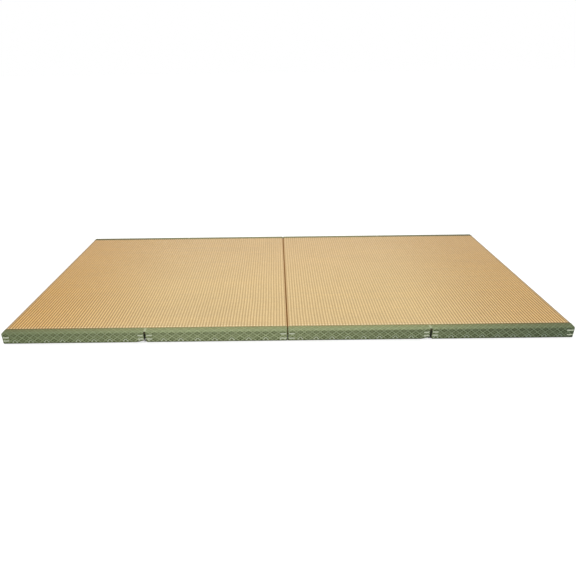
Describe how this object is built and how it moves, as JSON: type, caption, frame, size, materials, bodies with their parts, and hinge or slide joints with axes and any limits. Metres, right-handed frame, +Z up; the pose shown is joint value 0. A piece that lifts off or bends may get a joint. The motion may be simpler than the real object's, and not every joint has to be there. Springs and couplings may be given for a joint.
{
  "type": "tatami mat",
  "caption": "Flat rectangular floor mat of padded panels under a ribbed rush cover, with cloth binding along its long edges and slits where it folds.",
  "frame": {"origin": "middle of the mat's underside, on the floor", "axes": "+X along the long side, to the right seen from the front; +Y from the front binding to the back binding; +Z up through the mat's thickness"},
  "size_m": [2, 1, 0.044],
  "materials": {
    "rush_cover": "woven rush, satin",
    "binding_cloth": "matt woven cloth"
  },
  "bodies": {
    "root": {"mat_left": "rush_cover", "mat_right": "rush_cover", "binding_front_left": "binding_cloth", "binding_front_right": "binding_cloth", "binding_back_left": "binding_cloth", "binding_back_right": "binding_cloth"}
  },
  "joints": []
}
